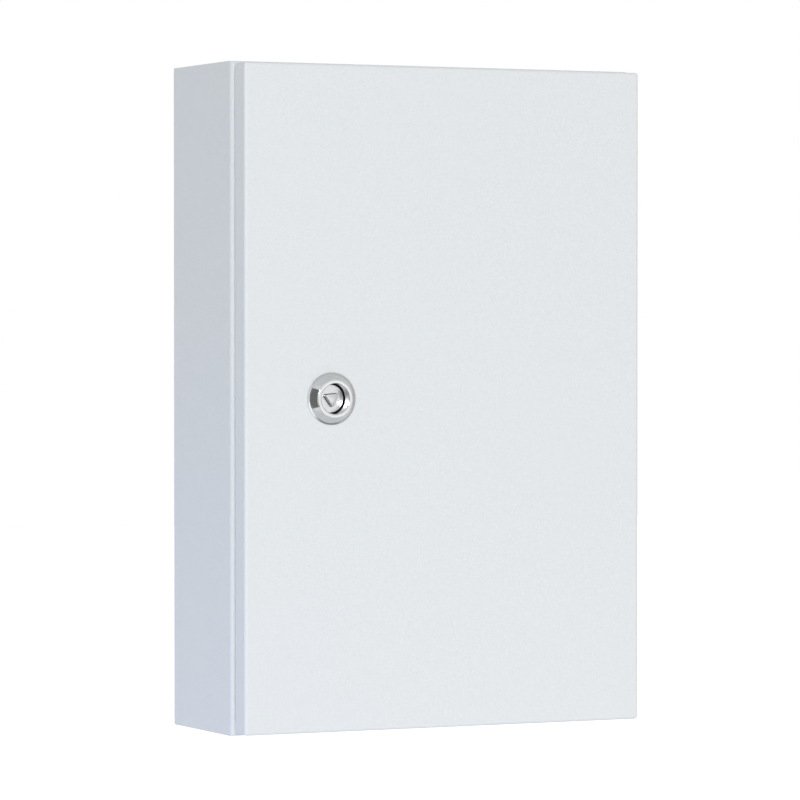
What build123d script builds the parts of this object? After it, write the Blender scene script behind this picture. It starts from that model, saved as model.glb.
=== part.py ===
from build123d import *
import os

# Steel wall enclosure: a folded body with a rain gutter, a folded door on two concealed hinges
# at the right and one quarter-turn lock at the left.
# X runs to the right, Y into the wall and Z up, in millimetres. The origin is the centre of the
# back, on the wall. Places in front of the wall are given as depths: depth d is the plane y = -d.

# Overall size and sheet metal
overall_width = 200.0
overall_height = 300.0
overall_depth = 80.0
body_sheet = 1.2
body_inner_bend = 0.8
door_sheet = 1.2
door_inner_bend = 0.2

# Door against body
door_fold = 10.8
door_gap = 1.7
door_inset = 1.1

# Gutter round the mouth, and the gasket that its lip meets
gutter_width = 14.0
mouth_corner = 4.0
gasket_thickness = 5.0
gasket_width = 11.0
gasket_round = 1.8
gasket_clearance = 0.3

# Wall fixing
wall_hole_radius = 4.25
wall_hole_edge = 20.0

# Mounting plate on four welded studs
plate_edge = 20.0
plate_thickness = 2.0
plate_corner_cut = 15.0
plate_stud_inset_x = 10.0
plate_stud_inset_z = 15.0
plate_standoff = 8.0
spacer_radius = 6.0

# Gland plate inside the bottom wall
gland_edge = 40.0
gland_opening_corner = 4.0
gland_overlap = 11.0
gland_end_clearance = 4.5
gland_plate_thickness = 1.5
gland_gasket_thickness = 2.5
gland_gasket_setback = 1.0

# Earth studs: one beside the gland plate, one on the door in a corner of the gasket
door_earth_inset = 16.0

# Threaded fasteners: radius of the thread, size of the nut and of the washer
m6_radius = 3.0
m6_nut_flats = 10.0
m6_nut_height = 5.0
m6_washer_radius = 6.0
m6_washer_thickness = 1.2
m5_radius = 2.5
m5_nut_flats = 8.0
m5_nut_height = 4.0
m5_washer_radius = 5.0
m5_washer_thickness = 1.0
weld_collar_height = 0.8
weld_collar_step = 0.8
stud_spare = 3.5
thread_clearance = 0.02
hole_clearance = 0.4

# Concealed hinges
hinge_edge = 45.0
hinge_sheet = 1.2
hinge_inner_bend = 0.4
arm_sheet = 1.8
arm_inner_bend = 1.0
knuckle_radius = 2.8
knuckle_length = 20.0
pin_radius = 1.5
pin_head_radius = 2.3
pin_head_height = 1.0
pin_tail = 1.0
pin_running_clearance = 0.05
hinge_axial_clearance = 0.3
hinge_side_clearance = 0.4
knuckle_clearance = 0.25
notch_clearance = 1.5
notch_edge = 1.0

# Quarter-turn lock
lock_edge_distance = 41.9
lock_z = 0.0
lock_rim_radius = 11.7
lock_rim_height = 0.8
lock_ledge = 0.8
lock_ring_radius = 8.75
lock_skirt_height = 4.1
lock_ring_height = 4.7
lock_ring_round = 0.5
lock_cup_radius = 6.8
barrel_radius = 9.0
barrel_flats = 16.0
barrel_clearance = 0.2
lock_nut_flats = 24.0
lock_nut_height = 4.0
seal_thickness = 0.7
seal_inner_radius = 9.45
seal_outer_radius = 10.4
seal_clearance = 0.15
insert_radius = 6.3
insert_head = 2.7
insert_recess = 0.8
insert_shaft_radius = 5.0
insert_running_clearance = 0.05
insert_end_clearance = 0.1
o_ring_section = 1.2
o_ring_from_head = 4.0
key_triangle_side = 7.0
key_triangle_height = 2.7
key_triangle_round = 0.5
key_triangle_tilt = 6.0
drive_square = 7.0
drive_clearance = 0.05
stop_thickness = 2.0
stop_hub_radius = 6.2
stop_hub_clearance = 0.2
stop_tab_angle = 86.0
stop_tab_setback = 0.3
cam_thickness = 2.5
cam_hub_radius = 9.0
cam_tip_width = 13.0
cam_tip_round = 3.0
cam_overlap = 8.0
cam_lead = 0.8
cam_clearance = 0.5
cam_screw_depth = 8.0

# Derived places of the sheet metal
body_outer_bend = body_inner_bend + body_sheet
door_outer_bend = door_inner_bend + door_sheet
body_depth = overall_depth - door_fold - door_gap
flange_back = body_depth - body_sheet
mouth_width = overall_width - 2 * (gutter_width + body_sheet)
mouth_height = overall_height - 2 * (gutter_width + body_sheet)
lip_width = mouth_width + 2 * body_sheet
lip_height = mouth_height + 2 * body_sheet
skin_back = overall_depth - door_sheet
gasket_face = skin_back - gasket_thickness
lip_edge = gasket_face - gasket_clearance
gasket_outer_width = lip_width - body_sheet + gasket_width
gasket_outer_height = lip_height - body_sheet + gasket_width
gasket_inner_width = gasket_outer_width - 2 * gasket_width
gasket_inner_height = gasket_outer_height - 2 * gasket_width
door_width = overall_width - 2 * door_inset
door_height = overall_height - 2 * door_inset
door_back = overall_depth - door_fold
floor_level = -overall_height / 2 + body_sheet

# Derived places of the fittings inside: wall holes, mounting plate, gland plate and earth studs
wall_hole_spacing_x = overall_width - 2 * wall_hole_edge
wall_hole_spacing_z = overall_height - 2 * wall_hole_edge
plate_width = overall_width - 2 * plate_edge
plate_height = overall_height - 2 * plate_edge
plate_stud_spacing_x = plate_width - 2 * plate_stud_inset_x
plate_stud_spacing_z = plate_height - 2 * plate_stud_inset_z
gland_opening_width = overall_width - 2 * gland_edge
gland_opening_depth = flange_back - body_sheet - 2 * (gland_overlap + gland_end_clearance)
gland_middle_depth = (flange_back + body_sheet) / 2
body_earth_x = (gland_opening_width / 2 + gland_overlap + overall_width / 2 - body_sheet) / 2
door_earth_x = gasket_inner_width / 2 - door_earth_inset
door_earth_z = door_earth_inset - gasket_inner_height / 2

# Derived places of the hinges: the axis lies inside the door's right fold
hinge_offset_z = overall_height / 2 - hinge_edge
hinge_x = door_width / 2 - door_sheet - hinge_side_clearance - knuckle_radius
hinge_depth = skin_back - hinge_sheet - knuckle_clearance - knuckle_radius
bracket_half = knuckle_length / 2 + hinge_axial_clearance + hinge_sheet

# Derived places of the lock, front to back
lock_x = lock_edge_distance - door_width / 2
insert_face = overall_depth - insert_recess
cup_floor = insert_face - insert_head - insert_end_clearance
cam_front = flange_back - cam_clearance
cam_back = cam_front - cam_thickness
barrel_back = cam_front + stop_thickness + insert_end_clearance
bore_radius = insert_shaft_radius + insert_running_clearance
cam_length = lock_x + mouth_width / 2 + cam_overlap
tolerance = 0.01


def at_depth(depth):
    """Plane parallel to the wall and facing the viewer, at a depth in front of the wall."""
    return Plane.XZ.offset(depth)


def slab(outline, back, front):
    """Front-view outline extruded between two depths."""
    return extrude(at_depth(back) * outline, front - back)


def upright(outline, bottom, top):
    """Plan-view outline extruded between two levels."""
    return extrude(Plane.XY.offset(bottom) * outline, top - bottom)


def plan_box(left, right, back, front):
    """Plan-view rectangle between two sides and two depths."""
    return Pos((left + right) / 2, -(back + front) / 2) * Rectangle(right - left, front - back)


def side_reach(edge):
    """How far an edge reaches to either side of the middle."""
    box = edge.bounding_box()
    return max(box.max.X, -box.min.X)


def edges_inside(solid, depth, half_width):
    """Edges at one depth that lie within a distance of the middle."""
    level = solid.edges().filter_by_position(Axis.Y, -depth - tolerance, -depth + tolerance)
    return level.filter_by(lambda edge: side_reach(edge) < half_width)


def folded_block(width, height, back, front, radius):
    """Block with bends along its front and back edges, mitred where they meet at the corners."""
    depth = front - back
    middle = (back + front) / 2
    plan = upright(Pos(0, -middle) * RectangleRounded(width, depth, radius), -height / 2, height / 2)
    side = Plane.YZ.offset(-width / 2) * Pos(-middle, 0) * RectangleRounded(depth, height, radius)
    return plan & extrude(side, width)


def pan_block(width, height, back, front, radius):
    """Block rounded at its corners and round its front, as the outside or inside of a pan."""
    block = slab(Rectangle(width, height), back, front)
    corners = block.edges().filter_by(Axis.Y)
    front_edges = block.edges().group_by(Axis.Y)[0]
    return fillet(corners + front_edges, radius)


def ring(outer_radius, inner_radius, bottom, top):
    """Flat ring on its own axis."""
    return upright(Circle(outer_radius) - Circle(inner_radius), bottom, top)


def hex_nut(flats, height, bore):
    """Hexagon nut standing on its seat."""
    return upright(RegularPolygon(flats / 2, 6, major_radius=False) - Circle(bore), 0, height)


def weld_stud(radius, length):
    """Threaded stud with the small collar that the stud weld leaves."""
    collar = upright(Circle(radius + weld_collar_step), 0, weld_collar_height)
    return collar + upright(Circle(radius), 0, length)


def enclosure_body():
    """Folded and welded box: back, four sides, front flange and the lip that stands on it."""
    outside = folded_block(overall_width, overall_height, 0, body_depth, body_outer_bend)
    inside = folded_block(
        overall_width - 2 * body_sheet,
        overall_height - 2 * body_sheet,
        body_sheet,
        flange_back,
        body_inner_bend,
    )
    lip = RectangleRounded(lip_width, lip_height, mouth_corner + body_sheet)
    mouth = RectangleRounded(mouth_width, mouth_height, mouth_corner)
    body = outside - inside
    body += slab(lip, flange_back, lip_edge)
    body -= slab(mouth, flange_back - body_sheet, lip_edge)
    body = fillet(edges_inside(body, body_depth, lip_width / 2 + tolerance), body_inner_bend)
    body = fillet(edges_inside(body, flange_back, mouth_width / 2 + tolerance), body_outer_bend)
    for spot in GridLocations(wall_hole_spacing_x, wall_hole_spacing_z, 2, 2):
        body -= slab(spot * Circle(wall_hole_radius), 0, body_sheet)
    opening = RectangleRounded(gland_opening_width, gland_opening_depth, gland_opening_corner)
    body -= upright(Pos(0, -gland_middle_depth) * opening, -overall_height / 2, floor_level)
    return body


def door_panel():
    """Folded door pan with the lock's hole and a notch in the right fold for each hinge."""
    pan = pan_block(door_width, door_height, door_back, overall_depth, door_outer_bend)
    pan -= pan_block(
        door_width - 2 * door_sheet,
        door_height - 2 * door_sheet,
        door_back,
        skin_back,
        door_inner_bend,
    )
    pan -= slab(Pos(lock_x, lock_z) * barrel_outline(barrel_clearance), skin_back, overall_depth)
    notch = plan_box(hinge_x, overall_width / 2, door_back, overall_depth - door_outer_bend - notch_edge)
    notch_half = bracket_half + notch_clearance
    for middle in (hinge_offset_z, -hinge_offset_z):
        pan -= upright(notch, middle - notch_half, middle + notch_half)
    return pan


def door_gasket():
    """Foamed gasket on the inside of the door, one closed bead over the body's lip."""
    outer_corner = mouth_corner + gasket_width / 2
    outer = RectangleRounded(gasket_outer_width, gasket_outer_height, outer_corner)
    inner = RectangleRounded(gasket_inner_width, gasket_inner_height, mouth_corner)
    bead = slab(outer - inner, gasket_face, skin_back)
    return fillet(bead.edges().group_by(Axis.Y)[-1], gasket_round)


def hinge_arm(middle):
    """Body half of a hinge: a foot on the gutter, an upright web and the knuckle it ends in."""
    web_left = hinge_x - knuckle_radius
    web_right = web_left + arm_sheet
    foot_left = lip_width / 2 + body_inner_bend
    foot = plan_box(foot_left, web_right, body_depth, body_depth + arm_sheet)
    web = plan_box(web_left, web_right, body_depth, hinge_depth)
    axis = Pos(hinge_x, -hinge_depth)
    outline = foot + web + axis * Circle(knuckle_radius)
    outline -= axis * Circle(pin_radius + pin_running_clearance)
    arm = upright(outline, middle - knuckle_length / 2, middle + knuckle_length / 2)
    inside = (web_left, -body_depth - arm_sheet, middle)
    arm = fillet(arm.edges().filter_by(Axis.Z).sort_by_distance(inside)[0], arm_inner_bend)
    outside = (web_right, -body_depth, middle)
    return fillet(arm.edges().filter_by(Axis.Z).sort_by_distance(outside)[0], arm_inner_bend + arm_sheet)


def hinge_bracket(middle):
    """Door half of a hinge: a strip on the door's skin with two ears that hold the pin."""
    left = hinge_x - knuckle_radius
    right = hinge_x + knuckle_radius
    strip = upright(
        plan_box(left, right, skin_back - hinge_sheet, skin_back),
        middle - bracket_half,
        middle + bracket_half,
    )
    axis = Pos(hinge_x, -hinge_depth)
    ear = plan_box(left, right, hinge_depth, skin_back) + axis * Circle(knuckle_radius)
    ear -= axis * Circle(pin_radius + thread_clearance)
    upper = upright(ear, middle + bracket_half - hinge_sheet, middle + bracket_half)
    lower = upright(ear, middle - bracket_half, middle - bracket_half + hinge_sheet)
    bracket = strip + upper + lower
    inner_y = hinge_sheet - skin_back
    crosswise = bracket.edges().filter_by(Axis.X)
    inner = crosswise.filter_by_position(Axis.Y, inner_y - tolerance, inner_y + tolerance)
    bracket = fillet(inner, hinge_inner_bend)
    outer = bracket.edges().filter_by(Axis.X).group_by(Axis.Y)[0]
    return fillet(outer, hinge_inner_bend + hinge_sheet)


def hinge_pin(middle):
    """Headed pin through both ears and the knuckle between them."""
    axis = Pos(hinge_x, -hinge_depth)
    top = middle + bracket_half
    shank = upright(axis * Circle(pin_radius), middle - bracket_half - pin_tail, top)
    head = upright(axis * Circle(pin_head_radius), top, top + pin_head_height)
    head = chamfer(head.edges().group_by(Axis.Z)[-1], pin_head_height / 2)
    return shank + head


def mounting_plate():
    """Flat galvanised plate with cut corners that leave the wall holes free."""
    back = body_sheet + plate_standoff
    plate = slab(Rectangle(plate_width, plate_height), back, back + plate_thickness)
    plate = chamfer(plate.edges().filter_by(Axis.Y), plate_corner_cut)
    for spot in GridLocations(plate_stud_spacing_x, plate_stud_spacing_z, 2, 2):
        hole = spot * Circle(m6_radius + hole_clearance)
        plate -= slab(hole, back, back + plate_thickness)
    return plate


def on_plate_studs(piece, depth):
    """Copies of a fastener at the four plate studs, seated at one depth."""
    spots = GridLocations(plate_stud_spacing_x, plate_stud_spacing_z, 2, 2)
    return Compound([at_depth(depth) * spot * piece for spot in spots])


def gland_outline(margin):
    """Gland opening grown by a margin on every side."""
    return RectangleRounded(
        gland_opening_width + 2 * margin,
        gland_opening_depth + 2 * margin,
        gland_opening_corner,
    )


def gland_spots(level):
    """The four gland studs, at one level above the bottom wall."""
    middle = Plane.XY.offset(level) * Pos(0, -gland_middle_depth)
    spacing_x = gland_opening_width + gland_overlap
    spacing_y = gland_opening_depth + gland_overlap
    return [middle * spot for spot in GridLocations(spacing_x, spacing_y, 2, 2)]


def gland_layer(outline, bottom, top, hole_radius):
    """Flat layer over the gland opening, drilled for the studs."""
    layer = upright(Pos(0, -gland_middle_depth) * outline, bottom, top)
    for spot in gland_spots(bottom):
        layer -= spot * upright(Circle(hole_radius), 0, top - bottom)
    return layer


def barrel_outline(clearance):
    """Round lock barrel with a flat on each side, so that it can't turn in the door."""
    flats = Rectangle(barrel_flats + 2 * clearance, 4 * barrel_radius)
    return Circle(barrel_radius + clearance) & flats


def lock_housing():
    """Turned and plated lock body: skirted head with a deep cup, barrel and rear turning stop."""
    front = overall_depth
    head_outline = Polyline(
        (bore_radius, front),
        (lock_rim_radius, front),
        (lock_rim_radius, front + lock_rim_height),
        (lock_rim_radius - lock_ledge, front + lock_rim_height),
        (lock_ring_radius, front + lock_skirt_height),
        (lock_ring_radius, front + lock_ring_height),
        (bore_radius, front + lock_ring_height),
        close=True,
    )
    head = revolve(make_face(Plane.XZ * head_outline), Axis.Z)
    head -= upright(Circle(lock_cup_radius), front, front + lock_ring_height)
    head = fillet(head.edges().group_by(Axis.Z)[-1], lock_ring_round)
    head -= ring(
        seal_outer_radius + seal_clearance,
        seal_inner_radius - seal_clearance,
        front,
        front + seal_thickness,
    )
    barrel = upright(barrel_outline(0), barrel_back, front)
    barrel -= upright(Circle(bore_radius), barrel_back, front)
    barrel -= upright(Circle(lock_cup_radius), cup_floor, front)
    stop = barrel_outline(0) - Circle(stop_hub_radius + stop_hub_clearance)
    stop &= Rot(0, 0, 45) * Pos(barrel_radius, 0) * Rectangle(2 * barrel_radius, 4 * barrel_radius)
    stop_back = cam_front + insert_end_clearance
    return head + barrel + upright(stop, stop_back, barrel_back)


def lock_insert():
    """Turning insert: raised key triangle, disc in the cup, round shaft and square drive."""
    triangle = RegularPolygon(key_triangle_side / 3**0.5, 3, rotation=key_triangle_tilt - 90)
    triangle = fillet(triangle.vertices(), key_triangle_round)
    head_back = insert_face - insert_head
    drive_front = barrel_back
    groove_front = head_back - o_ring_from_head
    insert = upright(triangle, insert_face, insert_face + key_triangle_height)
    insert += upright(Circle(insert_radius), head_back, insert_face)
    insert += upright(Circle(insert_shaft_radius), drive_front, head_back)
    insert -= ring(
        insert_shaft_radius + tolerance,
        insert_shaft_radius - o_ring_section,
        groove_front - o_ring_section,
        groove_front,
    )
    insert += upright(Rectangle(drive_square, drive_square), cam_back + insert_end_clearance, drive_front)
    insert -= upright(Circle(m5_radius + thread_clearance), cam_back, cam_back + cam_screw_depth)
    return insert


def insert_o_ring():
    """Sealing ring in the insert's groove."""
    groove_front = insert_face - insert_head - o_ring_from_head
    return ring(
        insert_shaft_radius,
        insert_shaft_radius - o_ring_section,
        groove_front - o_ring_section,
        groove_front,
    )


def drive_hole():
    """Square hole that fits the insert's drive."""
    return Rectangle(drive_square + 2 * drive_clearance, drive_square + 2 * drive_clearance)


def lock_stop_washer():
    """Washer on the square drive whose tab runs against the housing's stop."""
    half = stop_tab_angle / 2
    reach = 2 * barrel_radius
    wedge = Polyline(
        (0, 0),
        Vector(reach, 0).rotate(Axis.Z, -90 - half),
        Vector(reach, 0).rotate(Axis.Z, -90 + half),
        close=True,
    )
    tab = make_face(wedge) & Circle(barrel_flats / 2 - stop_tab_setback)
    washer = Circle(stop_hub_radius) + tab - drive_hole()
    return upright(washer, cam_front, cam_front + stop_thickness)


def lock_cam():
    """Flat cam that swings behind the body's flange when the lock is turned."""
    tip_middle = cam_length - cam_tip_width / 2
    tip = Pos(0, -tip_middle) * RectangleRounded(cam_tip_width, cam_tip_width, cam_tip_round)
    hub = Circle(cam_hub_radius)
    outline = make_hull(hub.edges() + tip.edges()) - drive_hole()
    cam = upright(outline, cam_back, cam_front)
    front_edges = cam.edges().group_by(Axis.Z)[-1]
    lead_edges = front_edges.filter_by(lambda edge: edge.center().Y < -tip_middle / 2)
    return chamfer(lead_edges, cam_lead)


def cam_screw(head_seat):
    """Hexagon screw that holds the cam on the square drive."""
    shank = upright(Circle(m5_radius), head_seat, cam_back + cam_screw_depth)
    hexagon = RegularPolygon(m5_nut_flats / 2, 6, major_radius=False)
    return shank + upright(hexagon, head_seat - m5_nut_height, head_seat)


# Places where groups of pieces sit
lock_axis = at_depth(0) * Pos(lock_x, lock_z)
plate_front = body_sheet + plate_standoff + plate_thickness
washer_front = plate_front + m6_washer_thickness
gland_gasket_top = floor_level + gland_gasket_thickness
gland_plate_top = gland_gasket_top + gland_plate_thickness
gland_washer_top = gland_plate_top + m5_washer_thickness
gland_stud_length = gland_washer_top + m5_nut_height + stud_spare - floor_level
plate_stud_length = washer_front + m6_nut_height + stud_spare - body_sheet
earth_stud_length = weld_collar_height + m6_washer_thickness + m6_nut_height + stud_spare
body_earth = Plane.XY.offset(floor_level) * Pos(body_earth_x, -gland_middle_depth)
door_earth = Plane(origin=(door_earth_x, -skin_back, door_earth_z), z_dir=(0, 1, 0))
screw_seat = cam_back - m5_washer_thickness

# Fasteners on their own axes
m6_washer = ring(m6_washer_radius, m6_radius + hole_clearance, 0, m6_washer_thickness)
m6_nut = hex_nut(m6_nut_flats, m6_nut_height, m6_radius + thread_clearance)
m5_washer = ring(m5_washer_radius, m5_radius + hole_clearance, 0, m5_washer_thickness)
m5_nut = hex_nut(m5_nut_flats, m5_nut_height, m5_radius + thread_clearance)
earth_washer_seat = Pos(0, 0, weld_collar_height)
earth_nut_seat = Pos(0, 0, weld_collar_height + m6_washer_thickness)
m6_collar_radius = m6_radius + weld_collar_step + hole_clearance
plate_spacer = ring(spacer_radius, m6_collar_radius, 0, plate_standoff)
gland_hole = m5_radius + weld_collar_step + hole_clearance

pieces = {
    "enclosure_body": enclosure_body(),
    "door_panel": door_panel(),
    "door_gasket": door_gasket(),
    "upper_hinge_arm": hinge_arm(hinge_offset_z),
    "lower_hinge_arm": hinge_arm(-hinge_offset_z),
    "upper_hinge_bracket": hinge_bracket(hinge_offset_z),
    "lower_hinge_bracket": hinge_bracket(-hinge_offset_z),
    "upper_hinge_pin": hinge_pin(hinge_offset_z),
    "lower_hinge_pin": hinge_pin(-hinge_offset_z),
    "mounting_plate": mounting_plate(),
    "plate_studs": on_plate_studs(weld_stud(m6_radius, plate_stud_length), body_sheet),
    "plate_spacers": on_plate_studs(plate_spacer, body_sheet),
    "plate_washers": on_plate_studs(m6_washer, plate_front),
    "plate_nuts": on_plate_studs(m6_nut, washer_front),
    "gland_gasket": gland_layer(
        gland_outline(gland_overlap) - gland_outline(gland_gasket_setback),
        floor_level,
        gland_gasket_top,
        gland_hole,
    ),
    "gland_plate": gland_layer(
        gland_outline(gland_overlap), gland_gasket_top, gland_plate_top, m5_radius + hole_clearance
    ),
    "gland_studs": Compound(
        [spot * weld_stud(m5_radius, gland_stud_length) for spot in gland_spots(floor_level)]
    ),
    "gland_washers": Compound([spot * m5_washer for spot in gland_spots(gland_plate_top)]),
    "gland_nuts": Compound([spot * m5_nut for spot in gland_spots(gland_washer_top)]),
    "body_earth_stud": body_earth * weld_stud(m6_radius, earth_stud_length),
    "body_earth_washer": body_earth * earth_washer_seat * m6_washer,
    "body_earth_nut": body_earth * earth_nut_seat * m6_nut,
    "door_earth_stud": door_earth * weld_stud(m6_radius, earth_stud_length),
    "door_earth_washer": door_earth * earth_washer_seat * m6_washer,
    "door_earth_nut": door_earth * earth_nut_seat * m6_nut,
    "lock_housing": lock_axis * lock_housing(),
    "lock_seal": lock_axis * ring(
        seal_outer_radius, seal_inner_radius, overall_depth, overall_depth + seal_thickness
    ),
    "lock_nut": lock_axis * Pos(0, 0, skin_back - lock_nut_height) * hex_nut(
        lock_nut_flats, lock_nut_height, barrel_radius + thread_clearance
    ),
    "lock_insert": lock_axis * lock_insert(),
    "insert_o_ring": lock_axis * insert_o_ring(),
    "lock_stop_washer": lock_axis * lock_stop_washer(),
    "lock_cam": lock_axis * lock_cam(),
    "cam_washer": lock_axis * Pos(0, 0, screw_seat) * m5_washer,
    "cam_screw": lock_axis * cam_screw(screw_seat),
}

os.makedirs("parts", exist_ok=True)
for name, piece in pieces.items():
    export_step(piece, f"parts/{name}.step")
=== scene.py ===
import math

import bmesh
import bpy
from mathutils import Matrix, Vector


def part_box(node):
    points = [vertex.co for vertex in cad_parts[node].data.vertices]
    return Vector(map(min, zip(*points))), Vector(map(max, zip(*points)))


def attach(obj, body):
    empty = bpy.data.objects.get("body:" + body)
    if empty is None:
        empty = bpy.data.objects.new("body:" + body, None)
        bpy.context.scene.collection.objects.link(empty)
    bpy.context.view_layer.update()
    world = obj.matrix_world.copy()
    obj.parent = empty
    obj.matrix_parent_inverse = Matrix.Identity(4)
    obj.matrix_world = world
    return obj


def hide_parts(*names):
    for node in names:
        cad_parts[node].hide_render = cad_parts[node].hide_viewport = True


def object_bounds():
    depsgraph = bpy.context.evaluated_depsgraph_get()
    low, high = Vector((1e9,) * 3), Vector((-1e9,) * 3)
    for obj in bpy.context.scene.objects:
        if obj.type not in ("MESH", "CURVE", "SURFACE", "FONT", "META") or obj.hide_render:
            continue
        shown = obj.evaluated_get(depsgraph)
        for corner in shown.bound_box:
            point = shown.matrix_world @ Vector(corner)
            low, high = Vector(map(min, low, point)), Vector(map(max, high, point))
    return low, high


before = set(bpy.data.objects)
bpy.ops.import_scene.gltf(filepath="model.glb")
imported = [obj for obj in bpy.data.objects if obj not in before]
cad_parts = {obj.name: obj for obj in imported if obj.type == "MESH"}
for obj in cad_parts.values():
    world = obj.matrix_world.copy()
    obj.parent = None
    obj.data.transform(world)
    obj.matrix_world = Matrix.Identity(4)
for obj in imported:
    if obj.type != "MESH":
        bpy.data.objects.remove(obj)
cad_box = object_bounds()

# Enclosure body: a folded and welded box of 1.2 mm sheet steel with a gutter round its mouth.
# It is coated inside and out with light grey, fine-textured powder paint, baked on after welding.
MM = 0.001
POWDER_GREY = (0.735, 0.768, 0.776, 1.0)
POWDER_GREY_COOL = (0.738, 0.768, 0.788, 1.0)
POWDER_IOR = 1.42
MOTTLE_DETAIL = 3.0
MOTTLE_LOW = 0.3
MOTTLE_HIGH = 0.7
GRAIN_DETAIL = 1.5


def shader_group(name, inputs, output):
    """Empty shader node group with value sockets, and its two end nodes."""
    tree = bpy.data.node_groups.new(name, "ShaderNodeTree")
    for label in inputs:
        tree.interface.new_socket(name=label, in_out="INPUT", socket_type="NodeSocketFloat")
    tree.interface.new_socket(name=output, in_out="OUTPUT", socket_type="NodeSocketFloat")
    start = tree.nodes.new("NodeGroupInput")
    end = tree.nodes.new("NodeGroupOutput")
    return tree, start, end


def add_noise(tree, size, detail):
    """Noise fixed to the piece, in lumps of a size in metres that a socket brings."""
    place = tree.nodes.new("ShaderNodeTexCoord")
    per_metre = tree.nodes.new("ShaderNodeMath")
    per_metre.operation = "DIVIDE"
    per_metre.inputs[0].default_value = 1.0
    noise = tree.nodes.new("ShaderNodeTexNoise")
    noise.inputs["Detail"].default_value = detail
    tree.links.new(size, per_metre.inputs[1])
    tree.links.new(per_metre.outputs[0], noise.inputs["Scale"])
    tree.links.new(place.outputs["Object"], noise.inputs["Vector"])
    return noise.outputs["Fac"]


def make_mottle():
    """Slow change of a value over the surface, between From and To, in patches of one Size."""
    tree, start, end = shader_group("mottle", ("Size", "From", "To"), "Value")
    patches = add_noise(tree, start.outputs["Size"], MOTTLE_DETAIL)
    spread = tree.nodes.new("ShaderNodeMapRange")
    spread.inputs["From Min"].default_value = MOTTLE_LOW
    spread.inputs["From Max"].default_value = MOTTLE_HIGH
    tree.links.new(patches, spread.inputs["Value"])
    tree.links.new(start.outputs["From"], spread.inputs["To Min"])
    tree.links.new(start.outputs["To"], spread.inputs["To Max"])
    tree.links.new(spread.outputs["Result"], end.inputs["Value"])
    return tree


def make_grain():
    """Height of a fine skin: soft lumps of one size with finer grain of another on them."""
    tree, start, end = shader_group("grain", ("Lump Size", "Grain Size", "Grain Share"), "Height")
    lumps = add_noise(tree, start.outputs["Lump Size"], GRAIN_DETAIL)
    grains = add_noise(tree, start.outputs["Grain Size"], GRAIN_DETAIL)
    blend = tree.nodes.new("ShaderNodeMix")
    tree.links.new(start.outputs["Grain Share"], blend.inputs["Factor"])
    tree.links.new(lumps, blend.inputs["A"])
    tree.links.new(grains, blend.inputs["B"])
    tree.links.new(blend.outputs["Result"], end.inputs["Height"])
    return tree


MOTTLE = make_mottle()
GRAIN = make_grain()


def finish_material(name, metallic):
    """New material with its Principled shader, which each finish then fills in."""
    made = bpy.data.materials.new(name)
    made.use_nodes = True
    shader = made.node_tree.nodes["Principled BSDF"]
    shader.inputs["Metallic"].default_value = metallic
    return made, made.node_tree, shader


def add_group(tree, group, values):
    """A shared group placed in a material with its own values."""
    node = tree.nodes.new("ShaderNodeGroup")
    node.node_tree = group
    for label, value in values.items():
        node.inputs[label].default_value = value
    return node


def add_roughness(tree, shader, size, smooth, rough):
    """Roughness that wanders between two values in patches of one size."""
    patches = add_group(tree, MOTTLE, {"Size": size, "From": smooth, "To": rough})
    tree.links.new(patches.outputs["Value"], shader.inputs["Roughness"])


def blend_tones(tree, shader, share, colour, other):
    """Base colour between two tones, by a share that a socket brings."""
    tones = tree.nodes.new("ShaderNodeMix")
    tones.data_type = "RGBA"
    tones.inputs["A"].default_value = colour
    tones.inputs["B"].default_value = other
    tree.links.new(share, tones.inputs["Factor"])
    tree.links.new(tones.outputs["Result"], shader.inputs["Base Color"])


def add_tone(tree, shader, size, colour, other):
    """Base colour that wanders between two tones in patches of one size."""
    patches = add_group(tree, MOTTLE, {"Size": size, "From": 0.0, "To": 1.0})
    blend_tones(tree, shader, patches.outputs["Value"], colour, other)


def add_grain(tree, shader, lump, fine, share, depth, strength):
    """Bump of a fine skin, its depth and sizes in metres."""
    skin = add_group(tree, GRAIN, {"Lump Size": lump, "Grain Size": fine, "Grain Share": share})
    bump = tree.nodes.new("ShaderNodeBump")
    bump.inputs["Distance"].default_value = depth
    bump.inputs["Strength"].default_value = strength
    tree.links.new(skin.outputs["Height"], bump.inputs["Height"])
    tree.links.new(bump.outputs["Normal"], shader.inputs["Normal"])


def make_powder_coat():
    """Light grey polyester powder coat with a fine orange-peel skin."""
    made, tree, shader = finish_material("powder_coat", metallic=0.0)
    shader.inputs["IOR"].default_value = POWDER_IOR
    add_tone(tree, shader, size=90 * MM, colour=POWDER_GREY, other=POWDER_GREY_COOL)
    add_roughness(tree, shader, size=6 * MM, smooth=0.48, rough=0.56)
    add_grain(tree, shader, lump=1.7 * MM, fine=0.5 * MM, share=0.25, depth=0.32 * MM, strength=0.9)
    return made


def paint(node, finish):
    """Gives a CAD piece its finish."""
    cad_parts[node].data.materials.clear()
    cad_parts[node].data.materials.append(finish)


powder_coat = make_powder_coat()
paint("enclosure_body", powder_coat)

# Plate studs: four M6 studs welded to the back by their ends, each with a small weld collar.
# Zinc-plated steel, threaded over the whole length above the collar and chamfered at the tip.
M6_PITCH = 1.0 * MM
M6_RADIUS = 3.0 * MM
COLLAR_STEP = 0.8 * MM
COLLAR_HEIGHT = 0.8 * MM
COLLAR_SHAPE = ((1.0, 0.0), (1.0, 0.55), (0.7, 0.9), (0.0, 1.0))
STUD_SEGMENTS = 24
THREAD_DEPTH = 0.54
THREAD_STEPS = 6
CREST_FLAT = 1.25
TIP_CHAMFER = 0.7 * MM
SHARP_ANGLE = math.radians(32)
ZINC = (0.60, 0.61, 0.62, 1.0)
ZINC_BLUE = (0.55, 0.57, 0.60, 1.0)


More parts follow.
